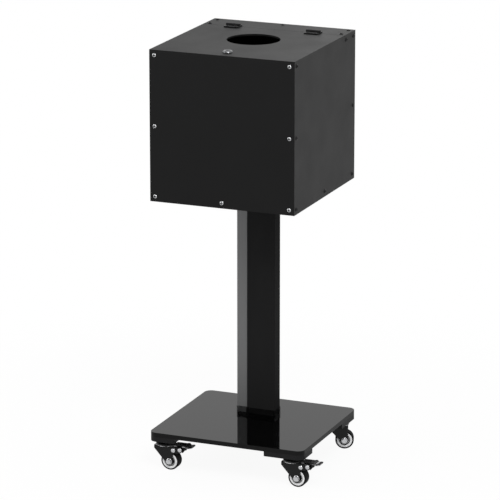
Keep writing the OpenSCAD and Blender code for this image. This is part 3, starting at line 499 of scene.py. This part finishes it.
def placed(points, origin, axis, turn=0.0):
    # local +Z goes along the axis, and local +X to a line across it that is turned about it
    w = np.array(axis, float) / np.linalg.norm(axis)
    upright = abs(w[2]) >= 0.9
    u = np.cross((0, 1, 0) if upright else (0, 0, 1), w)
    u = u / np.linalg.norm(u)
    v = np.cross(w, u)
    u, v = u * math.cos(turn) + v * math.sin(turn), v * math.cos(turn) - u * math.sin(turn)
    return np.array(origin) + points[..., :1] * u + points[..., 1:2] * v + points[..., 2:] * w


def gridFaces(rows, columns):
    # quads of a grid, facing out where its rows run outwards and down
    a = np.arange(rows - 1)[:, None] * columns + np.arange(columns - 1)
    return np.stack([a, a + columns, a + columns + 1, a + 1], -1).reshape(-1, 4)


def addPiece(name, grids, slot, body, replaced, sharp=32):
    # one mesh of several grids: equal points become one, and a quad with two equal corners a triangle;
    # an edge sharper than sharp degrees stays sharp
    starts = np.cumsum([0] + [g.shape[0] * g.shape[1] for g in grids])
    flat = np.round(np.concatenate([g.reshape(-1, 3) for g in grids]), 9)
    faces = np.concatenate([start + gridFaces(*g.shape[:2]) for start, g in zip(starts, grids)])
    points, index = np.unique(flat, axis=0, return_inverse=True)
    faces = index.reshape(-1)[faces]
    again = faces == np.roll(faces, 1, axis=1)
    single = again.sum(1) == 1
    triangles = faces[single][~again[single]].reshape(-1, 3)
    mesh = bpy.data.meshes.new(name)
    mesh.from_pydata(points.tolist(), [], faces[~again.any(1)].tolist() + triangles.tolist())
    mesh.polygons.foreach_set("use_smooth", np.ones(len(mesh.polygons), bool))
    mesh.set_sharp_from_angle(angle=math.radians(sharp))
    mesh.materials.append(finishes[slot])
    piece = bpy.data.objects.new(name, mesh)
    bpy.context.scene.collection.objects.link(piece)
    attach(piece, body)
    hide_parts(*replaced)


# Panel screws with domed heads and a cross recess
panelScrew = {
    "headWide": 0.010, "headHigh": 0.0026,
    "edge": 0.30, "squareness": 2.4, "roundness": 0.6,          # rim's share of the height, dome's powers
    "crossReach": 0.64, "crossHalf": 0.24, "crossSlope": 0.1,   # shares of the head's radius
    "crossDeep": 0.85,                                          # share of its height
    "rings": (0, 0.07, 0.14, 0.22, 0.32, 0.42, 0.50, 0.56, 0.62, 0.70, 0.80, 0.89, 0.95, 0.985, 1),
    "shankWide": 0.004, "long": 0.010, "columns": 40,
    "turn": 2.4,                                                # radians from one cross to the next
    "inset": 0.014, "behindHinge": 0.013,                       # places on the box
}


def screwGrid(s):
    # head: height = high (edge + (1 - edge)(1 - (r / half)^squareness)^roundness), less the cross, which is
    # the deeper of two bars, each one inside its half width and reach and falling to nothing over the slope
    half, high, shank = s["headWide"] / 2, s["headHigh"], s["shankWide"] / 2
    head = [(half * ring, 0) for ring in s["rings"]]
    below = [(half, 0), (shank, 0), (shank, shank - s["long"]), (0, -s["long"])]
    grid = turned(np.array(head + below), s["columns"])
    x, y = grid[:len(head), :, 0] / half, grid[:len(head), :, 1] / half
    far = np.minimum(np.hypot(x, y), 1)

    def bar(across, along):
        inside = np.clip((s["crossHalf"] - np.abs(across)) / s["crossSlope"] + 0.5, 0, 1)
        return inside * np.clip((s["crossReach"] - np.abs(along)) / s["crossSlope"], 0, 1)

    dome = s["edge"] + (1 - s["edge"]) * (1 - far ** s["squareness"]) ** s["roundness"]
    grid[:len(head), :, 2] = high * (dome - s["crossDeep"] * np.maximum(bar(x, y), bar(y, x)))
    return grid


def addScrews(s):
    # rows of screws, an inset away from the box's edges, as in the solids
    boxLow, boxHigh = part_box("front_panel")[0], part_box("rear_top_strip")[1]
    left, front, low = boxLow
    right, back, high = boxHigh
    inset, middleX, middleY = s["inset"], (left + right) / 2, (front + back) / 2
    hinge = sum(corner.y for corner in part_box("hinge_pins")) / 2 + s["behindHinge"]
    sideX, sideY = (left + inset, right - inset), (front + inset, back - inset)
    levels = (low + inset, (low + high) / 2, high - inset)
    sideSpots = [(y, z) for y in sideY for z in levels] + [(middleY, levels[0]), (hinge, levels[2])]
    under = [(x, y, low) for x in (sideX[0], middleX, sideX[1]) for y in (sideY[0], middleY, sideY[1])]
    under.remove((middleX, middleY, low))
    sets = {    # places, direction of the heads (none where they face away from the box's middle), slot
        "front_panel_screws": ([(x, front, z) for x in sideX for z in levels] + [(middleX, front, levels[0])],
                               (0, -1, 0), "steel_screw"),
        "rear_panel_screws": ([(x, back, z) for x in sideX for z in levels]
                              + [(middleX, back, z) for z in levels[::2]], (0, 1, 0), "steel_screw"),
        "side_panel_screws": ([(x, y, z) for x in (left, right) for y, z in sideSpots], None, "black_screw"),
        "top_strip_screws": ([(x, y, high) for x in sideX for y in (hinge, sideY[1])]
                             + [(middleX, sideY[1], high)], (0, 0, 1), "black_screw"),
        "floor_panel_screws": (under, (0, 0, -1), "black_screw"),
    }
    grid = screwGrid(s)
    for node, (places, axis, slot) in sets.items():
        grids = []
        for i, place in enumerate(places):
            outwards = axis or (math.copysign(1, place[0] - middleX), 0, 0)
            grids.append(placed(grid, place, outwards, s["turn"] * i))
        addPiece("crossed_" + node, grids, slot, "stand", [node])


addScrews(panelScrew)
print("screws set")


# Wheels: a silver ring, a black core, a tyre and a hexagon bolt, turned about each axle
wheel = {
    "columns": 96, "shoulderRows": 10, "treadRows": 47, "ringRows": 8, "inlayRows": 5,
    "tread": 0.025, "halfWide": 0.013, "shoulder": 0.0026, "tyreInner": 0.0210, "bead": 0.0004,
    "groove": 0.00035, "grooveHalf": 0.0005, "grooveAt": (-0.45, 0, 0.45),  # depth, width, shares of halfWide
    "ringOuter": 0.02095, "ringInner": 0.0148, "ringRound": 0.0012, "ringHalf": 0.01275,
    "inlayAt": 0.0122, "inlayHalf": 0.00055, "inlayRound": 0.000495, "inlayLevel": 0.0086,
    "core": (   # radius and half width: a step, a shelf under the inlay, the web, the hub and the bore
        (0.0150, 0.0102), (0.0132, 0.0098), (0.0128, 0.0086), (0.0112, 0.0084), (0.0106, 0.0073),
        (0.0096, 0.0071), (0.0090, 0.0079), (0.0087, 0.0133), (0.0081, 0.0138), (0.00405, 0.0138)),
}


def closed(loop):
    # the loop comes back to its first point
    return np.concatenate([loop, loop[:1]])


def ringSection(inner, outer, half, corner, rows):
    # a rectangle with quarter circles at its corners, as a closed loop that runs down on the outside
    a = np.linspace(np.pi / 2, 0, rows)
    arc = np.stack([np.cos(a), np.sin(a)], -1) * corner
    outerTop = arc + (outer - corner, half - corner)
    outerLow = arc[::-1] * (1, -1) + (outer - corner, corner - half)
    innerLow = -arc + (inner + corner, corner - half)
    innerTop = arc[::-1] * (-1, 1) + (inner + corner, half - corner)
    return closed(np.concatenate([outerTop, outerLow, innerLow, innerTop]))


def tyreSection(w):
    # shoulders are quarter circles, and the tread's radius is less by groove exp(-(off / grooveHalf)^2),
    # with off the distance from each groove's place
    a = np.linspace(np.pi / 2, 0, w["shoulderRows"])
    flat = w["halfWide"] - w["shoulder"]
    shoulder = np.stack([w["tread"] - w["shoulder"] * (1 - np.cos(a)), flat + w["shoulder"] * np.sin(a)], -1)
    across = np.linspace(flat, -flat, w["treadRows"])[1:-1]
    off = across[:, None] - np.array(w["grooveAt"]) * w["halfWide"]
    dip = np.exp(-(off / w["grooveHalf"]) ** 2).sum(1)
    tread = np.stack([w["tread"] - w["groove"] * dip, across], -1)
    bead = w["halfWide"] - w["bead"]
    inner = np.array([(w["tyreInner"], -bead), (w["tyreInner"], bead)])
    return closed(np.concatenate([shoulder, tread, shoulder[::-1] * (1, -1), inner]))


def coreSection(w):
    # the profile from the bore out to the ring, and back along its mirror image
    half = np.array(w["core"])
    return closed(np.concatenate([half[::-1], half * (1, -1)]))


axleBolt = {
    "flats": 0.0130, "headHigh": 0.0052, "nutHigh": 0.0064,
    "cone": 0.94, "bevel": 0.0008,                          # cut corners: share of the flats, and height
    "dish": ((0, 0.0006), (0.0030, 0.0005), (0.0040, 0)),   # radius and depth of the hollow in the head
    "washerWide": 0.0165, "washerHigh": 0.0012, "washerRound": (0.0006, 0.0005),
    "shank": 0.0040, "end": 0.0020, "endRound": 0.0006,
    "cheek": 0.0171,                                        # from the wheel's middle to the fork's outer face
    "columns": 72, "turn": 0.3,
}


def boltGrid(b):
    # one outline down the axle: a row has its own radius, and a six-sided one that over cos(angle from the
    # middle of a flat); the round rows beside those cut their corners to cones
    cheek, shank, washer, flat = b["cheek"], b["shank"], b["washerWide"] / 2, b["flats"] / 2
    cone, seat, nut = flat * b["cone"], cheek + b["washerHigh"], -cheek - b["nutHigh"]
    top, end, (inwards, down) = seat + b["headHigh"], nut - b["end"], b["washerRound"]
    rows = [(wide, top - deep, 0) for wide, deep in b["dish"]]
    rows += [   # radius, height, six-sided
        (cone, top, 0), (flat, top - b["bevel"], 1), (flat, seat, 1),
        (washer - inwards, seat, 0), (washer, seat - down, 0), (washer, cheek, 0),
        (shank, cheek, 0), (shank, -cheek, 0),
        (cone, -cheek, 0), (flat, -cheek - b["bevel"], 1), (flat, nut + b["bevel"], 1), (cone, nut, 0),
        (shank, nut, 0), (shank, end + b["endRound"], 0), (shank - b["endRound"], end, 0), (0, end, 0)]
    table = np.array(rows)

    def radius(a):
        tilt = (a + np.pi / 6) % (np.pi / 3) - np.pi / 6
        return table[:, :1] / np.where(table[:, 2:] > 0, np.cos(tilt), 1)

    return turned(table, b["columns"], radius)


def addWheels(w, b):
    thin, level = w["inlayHalf"], np.array((0, 0, w["inlayLevel"]))
    sections = (
        ringSection(w["ringInner"], w["ringOuter"], w["ringHalf"], w["ringRound"], w["ringRows"]),
        ringSection(w["inlayAt"] - thin, w["inlayAt"] + thin, thin, w["inlayRound"], w["inlayRows"]),
        coreSection(w), tyreSection(w))
    ring, inlay, core, tyre = [turned(section, w["columns"]) for section in sections]
    silver, bolt = (ring, inlay + level, inlay - level), boltGrid(b)
    for joint in frame["joints"]:
        if not joint["name"].startswith("roll_"):
            continue
        corner, at, axis = joint["name"][5:], joint["pos_m"], -np.array(joint["axis"])
        rolling, rim = "wheel_" + corner, "wheel_rim_" + corner
        addPiece("silver_ring_" + corner, [placed(g, at, axis) for g in silver], "rim_silver", rolling, [rim])
        addPiece("wheel_core_" + corner, [placed(core, at, axis)], "caster_black", rolling, [rim])
        addPiece("round_tyre_" + corner, [placed(tyre, at, axis)], "tyre_black", rolling, ["tyre_" + corner])
        addPiece("hexagon_bolt_" + corner, [placed(bolt, at, axis, b["turn"])], "bolt_chrome",
                 "fork_" + corner, ["axle_bolt_" + corner])


addWheels(wheel, axleBolt)
print("wheels set")


# Studio: a pale floor that fades to white away from the object, and soft lamps
studio = {
    "floorHalf": 30.0, "floorColour": (0.90, 0.90, 0.90), "fadeFrom": 0.5, "fadeTo": 1.6,
    "nearWhite": 0.93,      # share of plain white in the floor close to the object, for a faint shadow
    "worldLight": 0.62,     # strength of the surroundings as a light; the camera sees them white
    "lamps": {              # place, aim, edge length and power
        "key": ((1.6, -2.2, 3.2), (0, 0, 0.7), 1.6, 70.0),
        "fill": ((-2.6, -1.2, 1.8), (0, 0, 0.6), 1.8, 22.0),
        "back": ((-0.2, 2.8, 2.2), (0.1, 0, 0.9), 1.2, 7.5),
    },
}
white = (1, 1, 1, 1)


def seenRay(tree):
    # 1 for rays that look at the surroundings: from the camera, a mirror or glass
    path = addNode(tree, "ShaderNodeLightPath").outputs
    seen = calculate(tree, "ADD", path["Is Camera Ray"], path["Is Glossy Ray"])
    return calculate(tree, "ADD", seen, path["Is Transmission Ray"], clamp=True)


def whiteFloor(s):
    # diffuse near the object, and plain white far from it, by the distance from the origin
    material = bpy.data.materials.new("pale floor")
    material.use_nodes = True
    tree = material.node_tree
    tree.nodes.clear()
    point = addNode(tree, "ShaderNodeTexCoord").outputs["Object"]
    distance = addNode(tree, "ShaderNodeVectorMath", {0: point}, operation="LENGTH").outputs["Value"]
    fade = {"Value": distance, "From Min": s["fadeFrom"], "From Max": s["fadeTo"], "To Min": s["nearWhite"],
            "To Max": 1.0}
    far = addNode(tree, "ShaderNodeMapRange", fade, interpolation_type="SMOOTHSTEP").outputs["Result"]
    amount = calculate(tree, "MULTIPLY", far, seenRay(tree))
    pale = addNode(tree, "ShaderNodeBsdfDiffuse", {"Color": (*s["floorColour"], 1)}).outputs[0]
    plain = addNode(tree, "ShaderNodeEmission", {"Color": white, "Strength": 1.0}).outputs[0]
    mixed = addNode(tree, "ShaderNodeMixShader", {0: amount, 1: pale, 2: plain}).outputs[0]
    addNode(tree, "ShaderNodeOutputMaterial", {"Surface": mixed})
    return material


def addFloor(s):
    half = s["floorHalf"]
    corners = [(-half, -half, 0), (half, -half, 0), (half, half, 0), (-half, half, 0)]
    mesh = bpy.data.meshes.new("floor")
    mesh.from_pydata(corners, [], [(0, 1, 2, 3)])
    mesh.materials.append(whiteFloor(s))
    floor = bpy.data.objects.new("floor", mesh)
    bpy.context.scene.collection.objects.link(floor)


def addSurroundings(s):
    world = bpy.data.worlds.new("white surroundings")
    bpy.context.scene.world = world
    world.use_nodes = True
    tree = world.node_tree
    tree.nodes.clear()
    light = addNode(tree, "ShaderNodeBackground", {"Color": white, "Strength": s["worldLight"]}).outputs[0]
    plain = addNode(tree, "ShaderNodeBackground", {"Color": white, "Strength": 1.0}).outputs[0]
    mixed = addNode(tree, "ShaderNodeMixShader", {0: seenRay(tree), 1: light, 2: plain}).outputs[0]
    addNode(tree, "ShaderNodeOutputWorld", {"Surface": mixed})


def addLamps(s):
    for name, (place, aim, edge, power) in s["lamps"].items():
        data = bpy.data.lights.new(name, "AREA")
        data.size = edge
        data.energy = power
        lamp = bpy.data.objects.new(name, data)
        bpy.context.scene.collection.objects.link(lamp)
        lamp.location = place
        lamp.rotation_euler = (Vector(aim) - Vector(place)).to_track_quat("-Z", "Y").to_euler()


addFloor(studio)
addSurroundings(studio)
addLamps(studio)
print("studio set")
